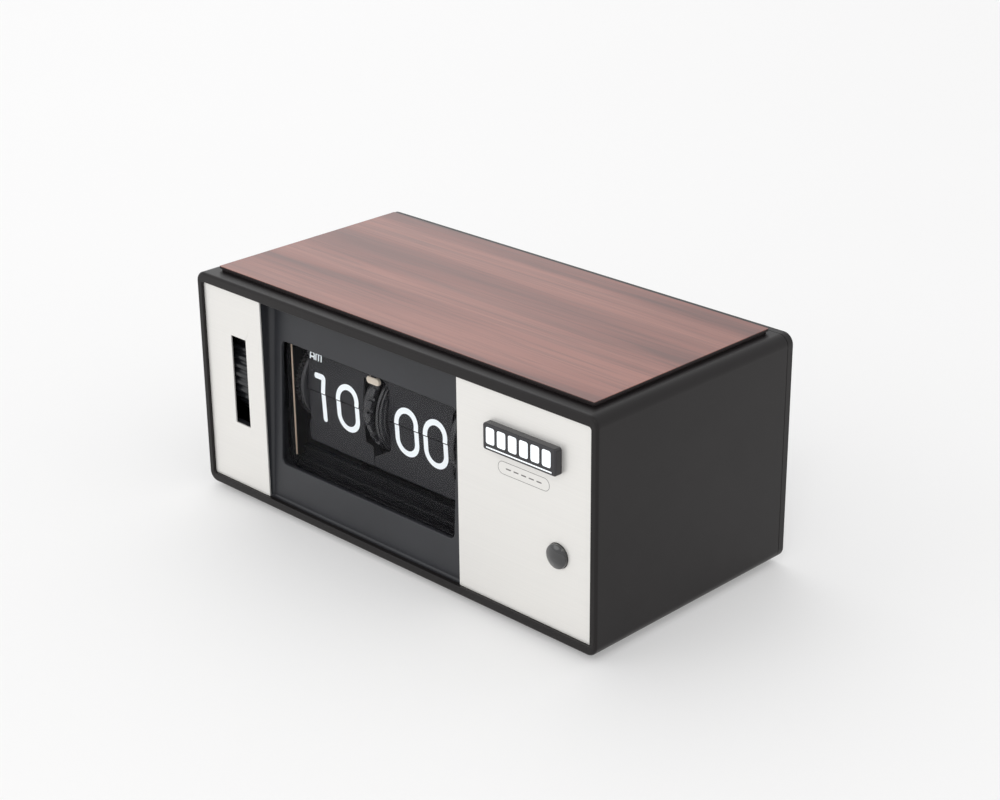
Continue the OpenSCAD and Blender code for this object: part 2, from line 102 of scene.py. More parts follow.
def length(name, text, default):
    return FloatProperty(name=name, description=text, default=default, unit="LENGTH", precision=5)


def colour(name, text, default):
    return FloatVectorProperty(name=name, description=text, default=default, subtype="COLOR",
                               size=3, min=0, max=1)


def turn(name, text, degrees):
    return FloatProperty(name=name, description=text, default=math.radians(degrees), subtype="ANGLE")


class CaseSettings(bpy.types.PropertyGroup):
    """Shape of the case, its rim and the sunk bezel."""
    edge_radius: length("Long edges", "Radius of the four long edges of the case", 3.6 * MM)
    rim_radius: length("Front edge", "Radius of the edge round the front rim", 0.9 * MM)
    opening_radius: length("Opening corners", "Radius of the corners of the front opening", 1.0 * MM)
    wall: length("Wall", "Thickness of the moulded walls", 2.4 * MM)
    bezel_depth: length("Bezel depth", "Depth of the bezel at its lower edge", 1.8 * MM)
    bezel_tilt: turn("Bezel tilt", "Backward lean of the bezel", 3)
    lens_set: length("Window depth", "Depth of the window behind the face of the bezel", 1.2 * MM)
    window_radius: length("Window corners", "Radius of the corners of the window", 2.0 * MM)


class DisplaySettings(bpy.types.PropertyGroup):
    """The printed digits and the leaves that carry them."""
    digit_width: length("Digit width", "Width of one round digit", 10.9 * MM)
    digit_above: length("Digit above", "Height of a digit above the split", 6.7 * MM)
    digit_below: length("Digit below", "Height of a digit below the split", 10.0 * MM)
    stroke: length("Stroke", "Width of the printed line", 1.95 * MM)
    ink: length("Ink", "Thickness of the print", 0.03 * MM)
    split_gap: length("Split", "Half of the gap between upper and lower leaves", 0.22 * MM)


class FinishSettings(bpy.types.PropertyGroup):
    """Colours of the finishes."""
    case_black: colour("Case", "Moulded case", (0.0085, 0.0068, 0.0068))
    bezel_black: colour("Bezel", "Sunk bezel", (0.022, 0.023, 0.027))
    plate_metal: colour("Plates", "Brushed front plates", (0.83, 0.815, 0.785))
    wood_dark: colour("Dark grain", "Dark streaks of the top", (0.050, 0.018, 0.016))
    wood_mid: colour("Grain", "Main colour of the top", (0.205, 0.068, 0.050))
    wood_light: colour("Light grain", "Light streaks of the top", (0.30, 0.115, 0.085))
    leaf_grey: colour("Leaves", "Leaf plastic", (0.020, 0.020, 0.024))
    # This colour also sets the print's faint glow, a painted light that stands in for light falling on the
    # print.
    print_white: colour("Print", "White print", (0.92, 0.97, 1.0))
    cream: colour("Cream", "Leaf stop", (0.82, 0.72, 0.60))


class StageSettings(bpy.types.PropertyGroup):
    """Camera, floor and lights."""
    azimuth: turn("Azimuth", "Camera's turn round the clock", 44.8)
    elevation: turn("Elevation", "Camera's height above the horizon", 23.1)
    roll: turn("Roll", "Camera's roll", -0.57)
    distance: length("Distance", "Camera to target", 0.6826)
    target: FloatVectorProperty(name="Target", description="Where the camera looks",
                                default=(0.0029, 0.00585, 0.0434), subtype="XYZ", unit="LENGTH")
    lens: FloatProperty(name="Lens", description="Focal length in millimetres", default=75.45)
    floor: colour("Floor", "Floor", (0.60, 0.597, 0.593))
    floor_glow: FloatProperty(name="Floor glow", description="Even light of the floor", default=0.27)
    sky: FloatProperty(name="Sky", description="Strength of the even light all round", default=0.92)


# ---- surfaces

def rounded_loop(x0, x1, z0, z1, radii, steps=8):
    """Outline of a rectangle with rounded corners, as an array of (x, z) points.

    Each corner is a quarter circle: its centre plus radius times (cos t, sin t). The corners go
    right top, left top, left bottom, right bottom, and radii gives one radius for each.
    """
    radii = np.broadcast_to(np.asarray(radii, float), (4,))
    centre_x = np.array([x1, x0, x0, x1]) + np.array([-1, 1, 1, -1]) * radii
    centre_z = np.array([z1, z1, z0, z0]) + np.array([-1, -1, 1, 1]) * radii
    t = np.linspace(0, math.pi / 2, steps + 1)[None, :] + np.arange(4)[:, None] * math.pi / 2
    points = np.stack([centre_x[:, None] + radii[:, None] * np.cos(t),
                       centre_z[:, None] + radii[:, None] * np.sin(t)], axis=-1)
    return points.reshape(-1, 2)


def ring_at(loop, y):
    """Places an (x, z) outline at depth y, which is a number or one value for each point."""
    return np.stack([loop[:, 0], np.broadcast_to(y, len(loop)), loop[:, 1]], axis=-1)


def level_at(loop, z):
    """Places an (x, y) outline at height z."""
    return np.stack([loop[:, 0], loop[:, 1], np.full(len(loop), z)], axis=-1)


def circle(x, y, radius, count):
    """Outline of a circle: its centre plus radius times (cos t, sin t)."""
    t = np.arange(count) * TAU / count
    return np.stack([x + radius * np.cos(t), y + radius * np.sin(t)], axis=-1)


def make_mesh(name, points, faces, smooth=30):
    """Makes an object from points and faces, facing outwards and creased past smooth degrees."""
    mesh = bpy.data.meshes.new(name)
    mesh.from_pydata(np.asarray(points).tolist(), [], faces)
    piece = bpy.data.objects.new(name, mesh)
    bpy.context.scene.collection.objects.link(piece)
    work = bmesh.new()
    work.from_mesh(mesh)
    bmesh.ops.remove_doubles(work, verts=work.verts, dist=1e-7)
    bmesh.ops.recalc_face_normals(work, faces=work.faces)
    work.to_mesh(mesh)
    work.free()
    mesh.polygons.foreach_set("use_smooth", [True] * len(mesh.polygons))
    mesh.set_sharp_from_angle(angle=math.radians(smooth))
    return piece


def skin_data(rings, wrap=False):
    """Points and faces of a surface through closed rings of equal length.

    Point (i, j) is point j of ring i. With wrap the last ring joins the first, else the end
    rings are closed by one face each.
    """
    rings = np.asarray(rings, float)
    count, around = rings.shape[:2]
    rows = np.arange(count if wrap else count - 1)[:, None]
    cols = np.arange(around)[None, :]
    after, right = (rows + 1) % count, (cols + 1) % around
    quads = np.stack(np.broadcast_arrays(rows * around + cols, rows * around + right,
                                         after * around + right, after * around + cols), axis=-1)
    faces = quads.reshape(-1, 4).tolist()
    if not wrap:
        faces.append(list(range(around))[::-1])
        faces.append([(count - 1) * around + j for j in range(around)])
    return rings.reshape(-1, 3), faces


def joined(parts):
    """Joins lists of (points, faces) into one."""
    points, faces, base = [], [], 0
    for part_points, part_faces in parts:
        points.append(part_points)
        faces.extend([[base + k for k in face] for face in part_faces])
        base += len(part_points)
    return np.concatenate(points), faces


def skin(name, rings, wrap=False, smooth=30):
    """Makes an object of a surface through closed rings."""
    return make_mesh(name, *skin_data(rings, wrap), smooth=smooth)


def lathe_data(profile, centre, segments=96, radius_wave=None):
    """Points and faces of a profile of (along, radius) turned about X through centre.

    Point (i, j) is centre + (along i, r cos t j, r sin t j), where r is radius i, changed by
    radius_wave(t, r) if given. The profile is closed on itself.
    """
    profile = np.asarray(profile, float)
    t = np.arange(segments)[None, :] * TAU / segments
    along = np.repeat(profile[:, :1], segments, axis=1)
    r = np.repeat(profile[:, 1:], segments, axis=1)
    if radius_wave is not None:
        r = radius_wave(t, r)
    rings = np.stack([centre[0] + along, centre[1] + r * np.cos(t), centre[2] + r * np.sin(t)], axis=-1)
    return skin_data(rings, wrap=True)


def frame_plate(outer, inner, y0, y1, bevel):
    """Points and faces of a flat plate between two outlines of equal length, with bevelled edges.

    The section runs round the four sides; each edge is cut back by bevel at 45 degrees. outer
    and inner are functions that give the outline grown outwards by a distance.
    """
    rings = [
        ring_at(outer(0), y1 - bevel), ring_at(outer(0), y0 + bevel), ring_at(outer(-bevel), y0),
        ring_at(inner(bevel), y0), ring_at(inner(0), y0 + bevel), ring_at(inner(0), y1 - bevel),
        ring_at(inner(bevel), y1), ring_at(outer(-bevel), y1),
    ]
    return skin_data(rings, wrap=True)


def rect_grower(x0, x1, z0, z1, radii, steps=8):
    """A function that gives a rounded rectangle grown by a distance on every side."""
    radii = np.asarray(radii, float)
    least = 0.02 * MM

    def grown(by):
        return rounded_loop(x0 - by, x1 + by, z0 - by, z1 + by, np.maximum(radii + by, least), steps)
    return grown


def circle_grower(x, z, radius, steps=8):
    """A function that gives a circle grown by a distance, with its points in rounded_loop's order."""
    t = np.concatenate([np.linspace(k, k + 1, steps + 1) for k in range(4)]) * math.pi / 2

    def grown(by):
        return np.stack([x + (radius + by) * np.cos(t), z + (radius + by) * np.sin(t)], axis=-1)
    return grown


def add_bevel(piece, width, segments, angle):
    """Adds a bevel to the edges that turn by more than angle degrees."""
    bevel = piece.modifiers.new("bevel", "BEVEL")
    bevel.width = width
    bevel.segments = segments
    bevel.limit_method = "ANGLE"
    bevel.angle_limit = math.radians(angle)
    return piece


def even_normals(piece):
    """Adds normals weighted by face size, so that flat faces stay flat beside small bevels."""
    weighted = piece.modifiers.new("even normals", "WEIGHTED_NORMAL")
    weighted.keep_sharp = True
    weighted.weight = 100
    return piece


def box_rings(x, y, z, radius=0.3 * MM, bevel=0.25 * MM, steps=3):
    """Rings of a block along Y with rounded sides and bevelled ends."""
    grown = rect_grower(x[0], x[1], z[0], z[1], radius, steps)
    return [ring_at(grown(-bevel), y[0]), ring_at(grown(0), y[0] + bevel),
            ring_at(grown(0), y[1] - bevel), ring_at(grown(-bevel), y[1])]


def block(x, depth, z, radius=0.3, bevel=0.25):
    """Points and faces of a rounded block in millimetres: across, behind the plates, and up."""
    x, y, z = np.array(x) * MM, at_front(np.array(depth)), np.array(z) * MM
    return skin_data(box_rings(x, y, z, radius * MM, bevel * MM))


# ---- materials

class Material:
    """A node material built step by step, with its pattern on the object's own coordinates."""

    def __init__(self, name, base, roughness=0.5, metallic=0.0, **sockets):
        self.material = bpy.data.materials.new(name)
        self.material.use_nodes = True
        self.tree = self.material.node_tree
        self.shader = self.tree.nodes["Principled BSDF"]
        self.place = self.add("ShaderNodeTexCoord").outputs["Object"]
        self.set("Base Color", (*base, 1))
        self.set("Roughness", roughness)
        self.set("Metallic", metallic)
        for key, value in sockets.items():
            self.set(key.replace("_", " ").title().replace("Ior", "IOR"), value)

    def set(self, socket, value):
        self.shader.inputs[socket].default_value = value

    def add(self, kind, **values):
        node = self.tree.nodes.new(kind)
        for key, value in values.items():
            setattr(node, key, value)
        return node

    def link(self, source, target):
        self.tree.links.new(source, target)

    def stretched(self, scale):
        """The object's coordinates scaled by (x, y, z), per metre."""
        mapping = self.add("ShaderNodeMapping")
        self.link(self.place, mapping.inputs["Vector"])
        mapping.inputs["Scale"].default_value = scale
        return mapping.outputs["Vector"]

    def noise(self, scale, detail=3.0, rough=0.5, distortion=0.0, vector=None):
        node = self.add("ShaderNodeTexNoise")
        self.link(vector or self.place, node.inputs["Vector"])
        node.inputs["Scale"].default_value = scale
        node.inputs["Detail"].default_value = detail
        node.inputs["Roughness"].default_value = rough
        node.inputs["Distortion"].default_value = distortion
        return node.outputs["Fac"]

    def ramp(self, value, stops):
        node = self.add("ShaderNodeValToRGB")
        points = node.color_ramp.elements
        while len(points) < len(stops):
            points.new(0.5)
        for point, (place, rgb) in zip(points, stops):
            point.position = place
            point.color = (*rgb, 1)
        self.link(value, node.inputs["Fac"])
        return node.outputs["Color"]

    def mix(self, a, b, factor, kind="MIX"):
        node = self.add("ShaderNodeMix", data_type="RGBA", blend_type=kind)
        for socket, value in ((node.inputs[0], factor), (node.inputs[6], a), (node.inputs[7], b)):
            if hasattr(value, "links"):
                self.link(value, socket)
            elif isinstance(value, (int, float)):
                socket.default_value = value
            else:
                socket.default_value = (*value, 1)
        return node.outputs[2]

    def range(self, value, low, high):
        node = self.add("ShaderNodeMapRange")
        self.link(value, node.inputs["Value"])
        node.inputs["To Min"].default_value = low
        node.inputs["To Max"].default_value = high
        return node.outputs["Result"]

    def bump(self, height, strength, distance):
        node = self.add("ShaderNodeBump")
        node.inputs["Strength"].default_value = strength
        node.inputs["Distance"].default_value = distance
        self.link(height, node.inputs["Height"])
        self.link(node.outputs["Normal"], self.shader.inputs["Normal"])


def moulded(name, base, roughness, grain=2600, depth=0.02 * MM, spread=0.12, **sockets):
    """Moulded plastic: faint tone drift, uneven gloss and a fine spark-eroded grain."""
    m = Material(name, base, roughness, **sockets)
    drift = m.noise(35, 4)
    dark = tuple(c * (1 - spread) for c in base)
    light = tuple(c * (1 + spread) for c in base)
    m.link(m.ramp(drift, [(0.3, dark), (0.7, light)]), m.shader.inputs["Base Color"])
    m.link(m.range(m.noise(120, 3), roughness - 0.05, roughness + 0.05), m.shader.inputs["Roughness"])
    m.bump(m.noise(grain, 2, 0.6), 0.5, depth)
    return m.material


def brushed(name, base, along="X", roughness=0.38, metallic=0.8, streak=0.05):
    """Brushed metal: very long thin streaks in tone, gloss and height along one axis."""
    m = Material(name, base, roughness, metallic)
    scale = {"X": (9, 9000, 9000), "Z": (9000, 9000, 9)}[along]
    lines = m.noise(1, 3, 0.65, vector=m.stretched(scale))
    dark = tuple(c * (1 - streak) for c in base)
    light = tuple(min(1, c * (1 + streak)) for c in base)
    m.link(m.ramp(lines, [(0.25, dark), (0.75, light)]), m.shader.inputs["Base Color"])
    m.link(m.range(lines, roughness - 0.07, roughness + 0.07), m.shader.inputs["Roughness"])
    m.bump(lines, 0.25, 0.006 * MM)
    return m.material


def wood_grain(finish):
    """Dark red laminate: bands and streaks along X, fine pores and a satin lacquer."""
    m = Material("wood_laminate", finish.wood_mid, 0.36, coat_weight=0.25, coat_roughness=0.25)
    bands = m.noise(1, 4, 0.55, 0.5, m.stretched((2.6, 60, 60)))
    streaks = m.noise(1, 6, 0.7, 0.9, m.stretched((9, 420, 420)))
    pores = m.noise(1, 3, 0.6, 0.0, m.stretched((50, 2200, 2200)))
    broad = m.ramp(bands, [(0.24, finish.wood_dark), (0.42, finish.wood_mid),
                           (0.58, finish.wood_light), (0.74, finish.wood_mid)])
    fine = m.ramp(streaks, [(0.30, (0.45, 0.42, 0.42)), (0.55, (1, 1, 1))])
    pore_tone = m.ramp(pores, [(0.28, (0.6, 0.55, 0.55)), (0.42, (1, 1, 1))])
    toned = m.mix(broad, fine, 0.75, "MULTIPLY")
    m.link(m.mix(toned, pore_tone, 0.5, "MULTIPLY"), m.shader.inputs["Base Color"])
    m.link(m.range(streaks, 0.30, 0.44), m.shader.inputs["Roughness"])
    m.bump(pores, 0.15, 0.02 * MM)
    return m.material


def clear(name, base, roughness, alpha):
    """Clear acrylic: mostly let through, with the shader's own reflection on top."""
    m = Material(name, base, roughness, ior=1.45, alpha=alpha)
    m.link(m.range(m.noise(300, 2), roughness, roughness + 0.03), m.shader.inputs["Roughness"])
    return m.material


MATERIALS = {}


def make_materials(finish):
    """One material for each finish in the record, and those of the printed parts."""
    def make(kind, name, *values, **sockets):
        MATERIALS[name] = kind(name, *values, **sockets)

    make(moulded, "case_plastic", finish.case_black, 0.38, ior=1.34)
    make(moulded, "bezel_plastic", finish.bezel_black, 0.40, 3200, 0.012 * MM, ior=1.45)
    make(brushed, "front_metal", finish.plate_metal, "X", 0.40, 0.55, 0.03)
    make(moulded, "shroud_plastic", (0.004, 0.004, 0.006), 0.5, ior=1.32)
    make(moulded, "badge_black", (0.020, 0.019, 0.022), 0.28, 1500, 0.004 * MM)
    make(moulded, "plinth_black", (0.016, 0.010, 0.010), 0.6)
    MATERIALS["wood_laminate"] = wood_grain(finish)
    make(brushed, "steel_bright", (0.62, 0.63, 0.64), "X", 0.3, 1.0)
    make(moulded, "foot_rubber", (0.018, 0.018, 0.018), 0.75, 1800, 0.03 * MM)
    make(brushed, "screw_steel", (0.36, 0.36, 0.38), "X", 0.35, 1.0)
    make(brushed, "plate_steel", (0.55, 0.56, 0.57), "Z", 0.36, 1.0)
    make(brushed, "brass_parts", (0.72, 0.53, 0.27), "X", 0.3, 1.0)
    make(moulded, "wheel_plastic", (0.009, 0.010, 0.012), 0.3, 2600, 0.006 * MM)
    make(moulded, "drum_plastic", (0.028, 0.028, 0.032), 0.26, 1500, 0.004 * MM)
    make(moulded, "gear_plastic", (0.016, 0.016, 0.018), 0.42, 1500, 0.005 * MM, 0.04)
    make(moulded, "leaf_plastic", finish.leaf_grey, 0.5, 1400, 0.006 * MM, ior=1.38)
    make(moulded, "stop_cream", finish.cream, 0.32, 900, 0.004 * MM, 0.03)
    make(brushed, "motor_can", (0.60, 0.61, 0.62), "X", 0.3, 1.0)
    make(moulded, "board_green", (0.04, 0.17, 0.06), 0.35, 500, 0.01 * MM)
    make(moulded, "board_black", (0.028, 0.028, 0.030), 0.5)
    make(moulded, "button_gloss", (0.010, 0.010, 0.011), 0.12, 500, 0.002 * MM,
         coat_weight=1.0, coat_roughness=0.04)
    make(moulded, "cell_jacket", (0.33, 0.35, 0.38), 0.3, 300, 0.004 * MM)
    make(brushed, "contact_metal", (0.64, 0.65, 0.65), "Z", 0.28, 1.0)
    make(moulded, "wire_jacket", (0.42, 0.04, 0.03), 0.4)
    # The print glows faintly: a painted light that stands in for light falling on the digits, the day mark
    # and the badge bars.
    make(moulded, "print_white", finish.print_white, 0.55, 900, 0.002 * MM, 0.02,
         emission_color=(*finish.print_white, 1), emission_strength=0.27)
    make(moulded, "emblem_ink", (0.16, 0.15, 0.15), 0.5, 900, 0.002 * MM, 0.05)
    # Pale colour of the painted highlight on the clear pane's lit edge.
    make(moulded, "edge_glow", (0.80, 0.62, 0.48), 0.35, 900, 0.002 * MM, 0.05)
    make(clear, "window_clear", (0.02, 0.02, 0.022), 0.02, 0.07)
    make(clear, "lamp_glass", (0.9, 0.85, 0.7), 0.08, 0.3)


def finished(piece, slot, *replaced, body="clock_frame", material=None):
    """Gives a piece its material, body and slot, and hides the frame's nodes that it stands for."""
    piece.data.materials.clear()
    piece.data.materials.append(MATERIALS[material or slot])
    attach(piece, body)
    if replaced:
        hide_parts(*replaced)
    return piece


# ---- pieces

def lean_depth(settings, z):
    """Depth of the leaning bezel face at height z: it falls back by tan of the tilt."""
    return at_front(0) + settings.bezel_depth + (z - PLATE_Z[0]) * math.tan(settings.bezel_tilt)


def window_edges():
    """Window opening as (x0, x1, z0, z1): the clear pane less its hidden lip."""
    low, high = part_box("window_lens")
    height = 43.2 * MM
    return low.x + LENS_LIP, high.x - LENS_LIP, low.z + LENS_LIP, low.z + LENS_LIP + height


def button_hole():
    """Round hole about the light button, grown by a distance."""
    low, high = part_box("light_button")
    return circle_grower((low.x + high.x) / 2, (low.z + high.z) / 2, BUTTON_RADIUS + BUTTON_GAP)


def build_case(s):
    """Closed sleeve: the section runs from the front opening over the rounded rim to the rear.

    Round the rim the outline is cut back by r (1 - sin t) where the depth is r (1 - cos t).
    """
    steps, gap, soft, spare = 12, 0.05 * MM, 0.25 * MM, 0.6 * MM
    rear_band, rear_ease = 0.5 * MM, 0.2 * MM
    outer = rect_grower(*CASE_X, *CASE_Z, s.edge_radius, steps)
    opening = rect_grower(LEFT_PLATE_X[0] - gap, RIGHT_PLATE_X[1] + gap,
                          PLATE_Z[0] - gap, PLATE_Z[1] + gap, s.opening_radius, steps)
    cavity = rect_grower(CASE_X[0] + s.wall, CASE_X[1] - s.wall, CASE_Z[0] + s.wall,
                         CASE_Z[1] - s.wall, s.edge_radius - s.wall + spare, steps)
    lip = at_front(3.5)
    r = s.rim_radius
    rings = [ring_at(opening(0), lip), ring_at(opening(0), RIM + soft)]
    for t in np.linspace(0, math.pi / 2, 4)[1:]:
        rings.append(ring_at(opening(soft * (1 - math.cos(t))), RIM + soft * (1 - math.sin(t))))
    for t in np.linspace(0, math.pi / 2, 7):
        rings.append(ring_at(outer(-r * (1 - math.sin(t))), RIM + r * (1 - math.cos(t))))
    for depth in (RIM + r + spare, COVER_FRONT - rear_band, COVER_FRONT - rear_ease):
        rings.append(ring_at(outer(0), depth))
    rings += [ring_at(outer(-rear_ease), COVER_FRONT), ring_at(cavity(0), COVER_FRONT),
              ring_at(cavity(0), lip)]
    piece = even_normals(skin("case_sleeve", rings, wrap=True, smooth=38))
    finished(piece, "case_plastic", "case_shell")


def build_bezel(s):
    """Sunk bezel with swept fillets, and the panels behind the two metal plates.

    The fillet's radius grows with height, because the recess is deeper at the top. The outer
    skirt stands a little outside the recess, so that its wall has a thickness.
    """
    x0, x1 = LEFT_PLATE_X[1], RIGHT_PLATE_X[0]
    z0, z1 = PLATE_Z
    outline = rect_grower(x0, x1, z0, z1, 0.25 * MM)
    window = rect_grower(*window_edges(), s.window_radius)
    panel, panel_back, back = PLATE_Y[1], at_front(3), at_front(8)
    skirt_out, low_fillet, more_fillet, edge = 0.04 * MM, 0.8 * MM, 1.3 * MM, 0.45 * MM
    base, skirt = outline(0), outline(skirt_out)
    reach = low_fillet + more_fillet * (base[:, 1] - z0) / (z1 - z0)
    inward = np.sign(np.array([(x0 + x1) / 2, (z0 + z1) / 2]) - base)
    rings = [ring_at(skirt, panel), ring_at(base, panel)]
    for t in np.linspace(0, math.pi / 2, 7):
        loop = base + inward * (reach * (1 - math.cos(t)))[:, None]
        rings.append(ring_at(loop, lean_depth(s, loop[:, 1]) - reach * (1 - math.sin(t))))
    wide = window(edge + 0.3 * MM)
    rings.append(ring_at(wide, lean_depth(s, wide[:, 1])))
    for t in np.linspace(0, math.pi / 2, 5):
        loop = window(edge * (1 - math.sin(t)))
        rings.append(ring_at(loop, lean_depth(s, loop[:, 1]) + edge * (1 - math.cos(t))))
    for loop in (window(0), window(LENS_LIP)):
        rings.append(ring_at(loop, lean_depth(s, loop[:, 1]) + s.lens_set))
    rings += [ring_at(window(LENS_LIP), back), ring_at(skirt, back)]
    slot_side, apart, square, round_ = 0.6 * MM, 0.1 * MM, 0.2 * MM, s.opening_radius
    slot = rect_grower(THUMB_X - slot_side, SLOT_X[1], *SLOT_Z, 0.1 * MM)
    left = rect_grower(LEFT_PLATE_X[0], x0 - apart, z0, z1, (square, round_, round_, square))
    right = rect_grower(x1 + apart, RIGHT_PLATE_X[1], z0, z1, (round_, square, square, round_))
    parts = [skin_data(rings, wrap=True)]
    for outer, inner in ((left, slot), (right, button_hole())):
        parts.append(frame_plate(outer, inner, panel, panel_back, 0.05 * MM))
    piece = even_normals(make_mesh("display_bezel", *joined(parts), smooth=40))
    finished(piece, "bezel_plastic", "front_bezel")


def build_plates(s):
    """Two thin metal plates with eased edges, one round the wheel slot and one round the button."""
    round_, square, ease = s.opening_radius, 0.15 * MM, 0.1 * MM
    left = rect_grower(*LEFT_PLATE_X, *PLATE_Z, (square, round_, round_, square))
    right = rect_grower(*RIGHT_PLATE_X, *PLATE_Z, (round_, square, square, round_))
    slot = rect_grower(*SLOT_X, *SLOT_Z, 0.12 * MM)
    for name, outer, inner in (("left_plate", left, slot), ("right_plate", right, button_hole())):
        data = frame_plate(outer, inner, *PLATE_Y, ease)
        piece = even_normals(make_mesh(name + "_metal", *data, smooth=50))
        finished(piece, "front_metal", name)


def build_badge():
    """Chamfered block with rounded corners, and plain raised bars in place of any mark."""
    low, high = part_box("badge")
    front = low.y
    outline = rect_grower(low.x, high.x, low.z, high.z, 0.9 * MM, 6)
    chamfer, ease = 0.38 * MM, 0.06 * MM
    rings = [ring_at(outline(0), high.y), ring_at(outline(0), front + chamfer + 0.1 * MM),
             ring_at(outline(-ease), front + chamfer - ease),
             ring_at(outline(-chamfer + ease), front + ease),
             ring_at(outline(-chamfer - 2 * ease), front)]
    piece = even_normals(skin("badge_block", rings, smooth=28))
    finished(piece, "badge_black", "badge")
    blocks, gap, margin, right_margin = 6, 1.1 * MM, 1.5 * MM, 1.9 * MM
    line_low, line_high, bars_low, bars_down = 0.85 * MM, 1.3 * MM, 2.3 * MM, 1.0 * MM
    raised, soft = 0.06 * MM, 0.03 * MM
    depth = (front - raised, front + raised)
    x0, x1 = low.x + margin, high.x - right_margin
    width = (x1 - x0 - gap * (blocks - 1)) / blocks
    heights = (low.z + bars_low, high.z - bars_down)
    parts = []
    for k in range(blocks):
        x = x0 + k * (width + gap)
        parts.append(skin_data(box_rings((x, x + width), depth, heights, 0.7 * MM, soft, 5)))
    line = (low.z + line_low, low.z + line_high)
    parts.append(skin_data(box_rings((x0, high.x - margin), depth, line, 0.2 * MM, soft)))
    piece = make_mesh("badge_bars", *joined(parts), smooth=40)
    # The bars take the glowing print material: white print with painted light.
    finished(piece, "badge_black", material="print_white")


def build_emblem():
    """Thin printed pill outline under the badge, with a plain dashed line in it."""
    x0, x1 = 49.9 * MM, 70.8 * MM
    z0, z1 = CASE_Z[0] + 47.1 * MM, CASE_Z[0] + 51.3 * MM
    radius, middle = (z1 - z0) / 2, (z0 + z1) / 2
    line, ink = 0.14 * MM, 0.03 * MM
    outline = rect_grower(x0, x1, z0, z1, radius, 12)
    inside = rect_grower(x0 + line, x1 - line, z0 + line, z1 - line, radius - line, 12)
    parts = [frame_plate(outline, inside, PLATE_Y[0] - ink, PLATE_Y[0] + 0.01 * MM, 0.004 * MM)]
    dashes, first, pitch, dash, stroke = 5, 3.2 * MM, 3.1 * MM, 2.2 * MM, 0.4 * MM
    for k in range(dashes):
        start = x0 + first + k * pitch
        path = densify([[start, middle], [start + dash, middle]])
        parts.append(ribbon_data(path, stroke, flat_frame(PLATE_Y[0]), ink, True, True))
    piece = make_mesh("emblem_outline", *joined(parts), smooth=40)
    finished(piece, "front_metal", material="emblem_ink")


def build_top():
    """Laminate panel with eased edges on its black plinth; the panel's sides are black too."""
    for name, node, slot, ease in (("top_panel", "wood_top", "wood_laminate", 0.12 * MM),
                                   ("top_base", "top_plinth", "plinth_black", 0.05 * MM)):
        low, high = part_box(node)
        outline = rect_grower(low.x, high.x, low.y, high.y, 0.35 * MM, 4)
        rings = [level_at(outline(-ease), low.z), level_at(outline(0), low.z + ease),
                 level_at(outline(0), high.z - ease), level_at(outline(-ease), high.z)]
        piece = finished(even_normals(skin(name, rings, smooth=50)), slot, node)
        piece.data.materials.append(MATERIALS["plinth_black"])
        normals = np.empty(len(piece.data.polygons) * 3)
        piece.data.polygons.foreach_get("normal", normals)
        piece.data.polygons.foreach_set("material_index", (normals[2::3] < 0.5).astype(np.int32))


def build_wheel():
    """Ribbed thumb wheel: radius swells at each rib, and its sides are rounded over."""
    low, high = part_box("thumb_wheel")
    radius = (high.z - low.z) / 2
    ribs, depth, half, round_over = 44, 0.9 * MM, 4.75 * MM, 0.4 * MM
    rib_root, web, web_edge, dish = radius - 1.6 * MM, radius - 5 * MM, radius - 4.2 * MM, 1.0 * MM
    hub, hub_end, core = 4 * MM, half + 2 * MM, 1.5 * MM

    def ribbed(t, r):
        """Rounded ribs: the radius drops by depth between them, only near the rim."""
        wave = np.clip(0.5 + 0.75 * np.cos(ribs * t), 0, 1) ** 0.8
        near = np.clip((r - rib_root) / (1.0 * MM), 0, 1)
        return r - depth * near * (1 - wave)

    side = [(dish - half, 6 * MM), (dish - half, web), (-half, web_edge), (-half, rib_root)]
    side += [(-half + round_over * (1 - math.sin(t)), radius - round_over * (1 - math.cos(t)))
             for t in np.linspace(math.pi / 2, 0, 4)]
    profile = side + [(-along, r) for along, r in side[::-1]]
    profile += [(hub_end, hub), (hub_end, core), (-half, core), (-half, hub)]
    data = lathe_data(profile, (THUMB_X + half, SHAFT.y, SHAFT.z), ribs * 12, ribbed)
    piece = make_mesh("thumb_wheel_ribbed", *data, smooth=35)
    finished(piece, "wheel_plastic", "thumb_wheel", body="minute_works")


def rounded_step(x0, x1, r_low, r_high, ease):
    """Profile points of one raised band: up, over two eased corners and down."""
    return [(x0, r_low), (x0, r_high - ease), (x0 + ease * 0.3, r_high - ease * 0.3),
            (x0 + ease, r_high), (x1 - ease, r_high), (x1 - ease * 0.3, r_high - ease * 0.3),
            (x1, r_high - ease), (x1, r_low)]


